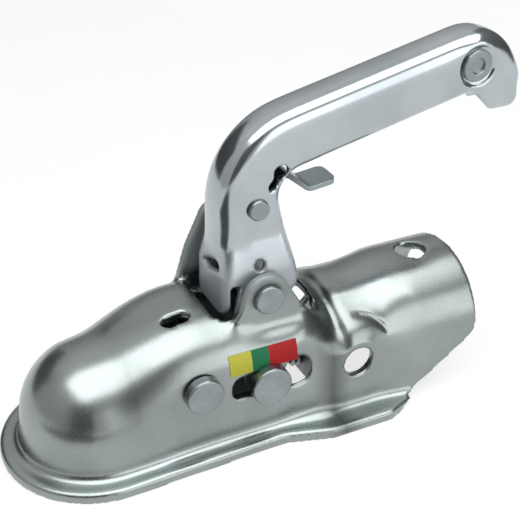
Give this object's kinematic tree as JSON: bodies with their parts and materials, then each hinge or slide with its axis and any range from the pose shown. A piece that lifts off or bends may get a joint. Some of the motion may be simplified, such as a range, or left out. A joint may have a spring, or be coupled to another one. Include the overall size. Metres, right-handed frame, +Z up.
{
  "type": "trailer coupling head",
  "caption": "Pressed zinc-plated trailer coupling head with ball socket, lever-driven locking jaw, wear gauge and drawbar sleeve.",
  "frame": {"origin": "centre of the seated tow ball", "axes": "+X back along the drawbar, +Z up out of the lever side, +Y to the far side with the nuts"},
  "size_m": [0.2219, 0.084, 0.1482],
  "materials": {
    "zinc_body": "satin zinc plate on pressed steel",
    "zinc_lever": "bright zinc plate with a bluish tint",
    "zinc_catch": "bright zinc plate",
    "zinc_fastener": "zinc plate on cold-formed steel",
    "zinc_inner": "dull zinc plate",
    "jaw_steel": "oiled steel",
    "spring_steel": "spring wire",
    "gauge_label": "printed film in three plain colour fields"
  },
  "bodies": {
    "head": {"coupling_body": "zinc_body", "stop_plate": "zinc_inner", "jaw_pin": "zinc_fastener", "jaw_spacers": "zinc_inner", "lock_spring": "spring_steel", "pivot_bolt": "zinc_fastener", "pivot_washer": "zinc_fastener", "pivot_nut": "zinc_fastener", "pivot_bush": "zinc_inner", "pivot_spacers": "zinc_inner", "indicator_label": "gauge_label"},
    "lever": {"lever": "zinc_lever", "drive_pin": "zinc_fastener", "drive_roller": "jaw_steel", "catch_rivet": "zinc_fastener", "catch_spring": "spring_steel", "grip_rivet": "zinc_fastener"},
    "slide": {"lock_slide": "jaw_steel", "slide_spacers": "zinc_inner", "indicator_bolt": "zinc_fastener", "indicator_washer": "zinc_fastener", "indicator_nut": "zinc_fastener"},
    "jaw": {"locking_jaw": "jaw_steel"},
    "catch": {"safety_catch": "zinc_catch"}
  },
  "joints": [
    {"name": "lever_swing", "type": "hinge", "parent": "head", "child": "lever", "pos_m": [0.0652, 0, 0.0451], "axis": [0, -1, 0], "range_deg": [0, 55], "stiffness_Nm_per_rad": 0.5, "springref_deg": -57.3},
    {"name": "slide_travel", "type": "slide", "parent": "head", "child": "slide", "axis": [1, 0, 0], "range_m": [0, 0.01108], "deforming": ["lock_spring"]},
    {"name": "jaw_swing", "type": "hinge", "parent": "head", "child": "jaw", "pos_m": [0.0335, 0, 0.0165], "axis": [0, -1, 0], "range_deg": [0, 16]},
    {"name": "catch_press", "type": "hinge", "parent": "lever", "child": "catch", "pos_m": [0.0659, 0, 0.0779], "axis": [0, -1, 0], "range_deg": [0, 9], "stiffness_Nm_per_rad": 0.3, "springref_deg": -11.46}
  ],
  "couplings": [
    {"joint": "slide_travel", "follows": "lever_swing", "m_per_rad": 0.011544},
    {"joint": "jaw_swing", "follows": "lever_swing", "ratio": 0.2909}
  ]
}
